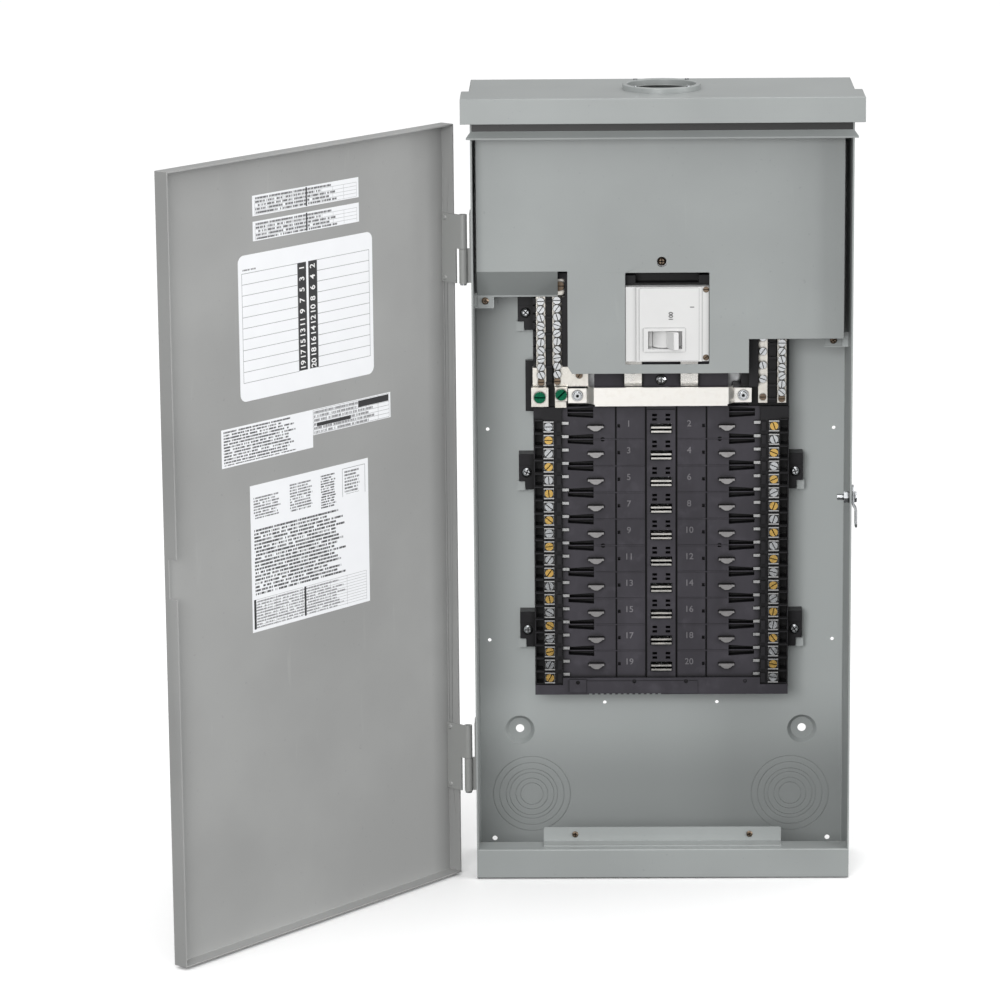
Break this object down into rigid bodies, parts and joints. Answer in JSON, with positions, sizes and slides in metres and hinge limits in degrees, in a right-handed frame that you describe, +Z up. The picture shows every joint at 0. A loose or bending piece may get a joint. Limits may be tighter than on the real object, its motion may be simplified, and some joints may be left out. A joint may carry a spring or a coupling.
{
  "type": "residential load center",
  "caption": "Outdoor surface-mount load center with rain hood, hinged door, main breaker behind a deadfront and plug-on branch spaces.",
  "frame": {"origin": "centre of the four wall-mounting holes, on the plane of the building wall", "axes": "+Z up; the box faces -Y and the wall is on the +Y side; +X to the right as seen from the front"},
  "size_m": [0.6167, 0.3678, 0.7439],
  "materials": {
    "box_paint": "smooth light grey powder coat",
    "cover_paint": "smooth light grey powder coat",
    "door_paint": "smooth light grey powder coat",
    "hinge_paint": "light grey paint over steel",
    "pin_steel": "plain drawn steel",
    "label_film": "printed white film",
    "breaker_white": "white moulded plastic with a low sheen",
    "breaker_grey": "dark moulded plastic",
    "black_phenolic": "black moulded thermoset with a dull sheen",
    "galvanised_pan": "galvanised sheet steel",
    "tin_plate": "bright tin plate",
    "hook_steel": "zinc-plated steel",
    "bar_aluminium": "tin-plated aluminium",
    "zinc_steel": "bright zinc plate",
    "brass_plate": "yellow chromate plate",
    "green_enamel": "green-dyed plate",
    "bronze_steel": "dark bronze plate"
  },
  "bodies": {
    "enclosure": {"anchor_screws": "bronze_steel", "bar_carrier_left": "black_phenolic", "bar_carrier_right": "black_phenolic", "bar_left_inner": "bar_aluminium", "bar_left_outer": "bar_aluminium", "bar_right_inner": "bar_aluminium", "bar_right_outer": "bar_aluminium", "bar_screws": "zinc_steel", "bonding_lugs": "bar_aluminium", "bonding_screws": "green_enamel", "bottom_end": "box_paint", "box_body": "box_paint", "bracket_screws": "zinc_steel", "brass_screws": "brass_plate", "breaker_base": "breaker_grey", "breaker_cover": "breaker_white", "breaker_cover_screws": "zinc_steel", "breaker_hooks_left": "hook_steel", "breaker_hooks_right": "hook_steel", "breaker_line_lugs": "bar_aluminium", "breaker_load_straps": "tin_plate", "breaker_lug_screws": "zinc_steel", "breaker_strap_screws": "zinc_steel", "bus_bar_left": "tin_plate", "bus_bar_right": "tin_plate", "deadfront_cover": "cover_paint", "deadfront_screws": "zinc_steel", "feet_screws": "zinc_steel", "floor_bracket": "box_paint", "hinge_lower_box_leaf": "hinge_paint", "hinge_lower_pin": "pin_steel", "hinge_upper_box_leaf": "hinge_paint", "hinge_upper_pin": "pin_steel", "hub_collar": "hinge_paint", "hub_screws": "zinc_steel", "interior_base": "black_phenolic", "interior_pan": "galvanised_pan", "latch_bolt": "zinc_steel", "latch_nut": "zinc_steel", "lower_trim": "black_phenolic", "mounting_feet": "black_phenolic", "neutral_strap": "tin_plate", "rain_hood": "box_paint", "strap_screws": "zinc_steel", "terminal_block_left": "black_phenolic", "terminal_block_right": "black_phenolic", "terminal_clamps_left": "tin_plate", "terminal_clamps_right": "tin_plate", "top_header": "box_paint", "zinc_screws": "zinc_steel"},
    "door": {"door_pan": "door_paint", "hinge_lower_door_leaf": "hinge_paint", "hinge_upper_door_leaf": "hinge_paint", "hinge_rivets": "hinge_paint", "circuit_directory": "label_film", "instruction_sheet": "label_film", "ratings_label": "label_film", "wire_table_labels": "label_film"},
    "toggle": {"breaker_toggle": "breaker_white"},
    "hasp": {"latch_hasp": "zinc_steel"}
  },
  "joints": [
    {"name": "door_hinge", "type": "hinge", "parent": "enclosure", "child": "door", "pos_m": [-0.1808, -0.096, 0], "axis": [0, 0, 1], "range_deg": [-40, 130.3]},
    {"name": "toggle_pivot", "type": "hinge", "parent": "enclosure", "child": "toggle", "pos_m": [0.003, -0.069, 0.13905], "axis": [0, 0, 1], "range_deg": [-48, 0]},
    {"name": "hasp_pivot", "type": "hinge", "parent": "enclosure", "child": "hasp", "pos_m": [0.1755, -0.088, -0.008], "axis": [-1, 0, 0], "range_deg": [-30, 90]}
  ]
}
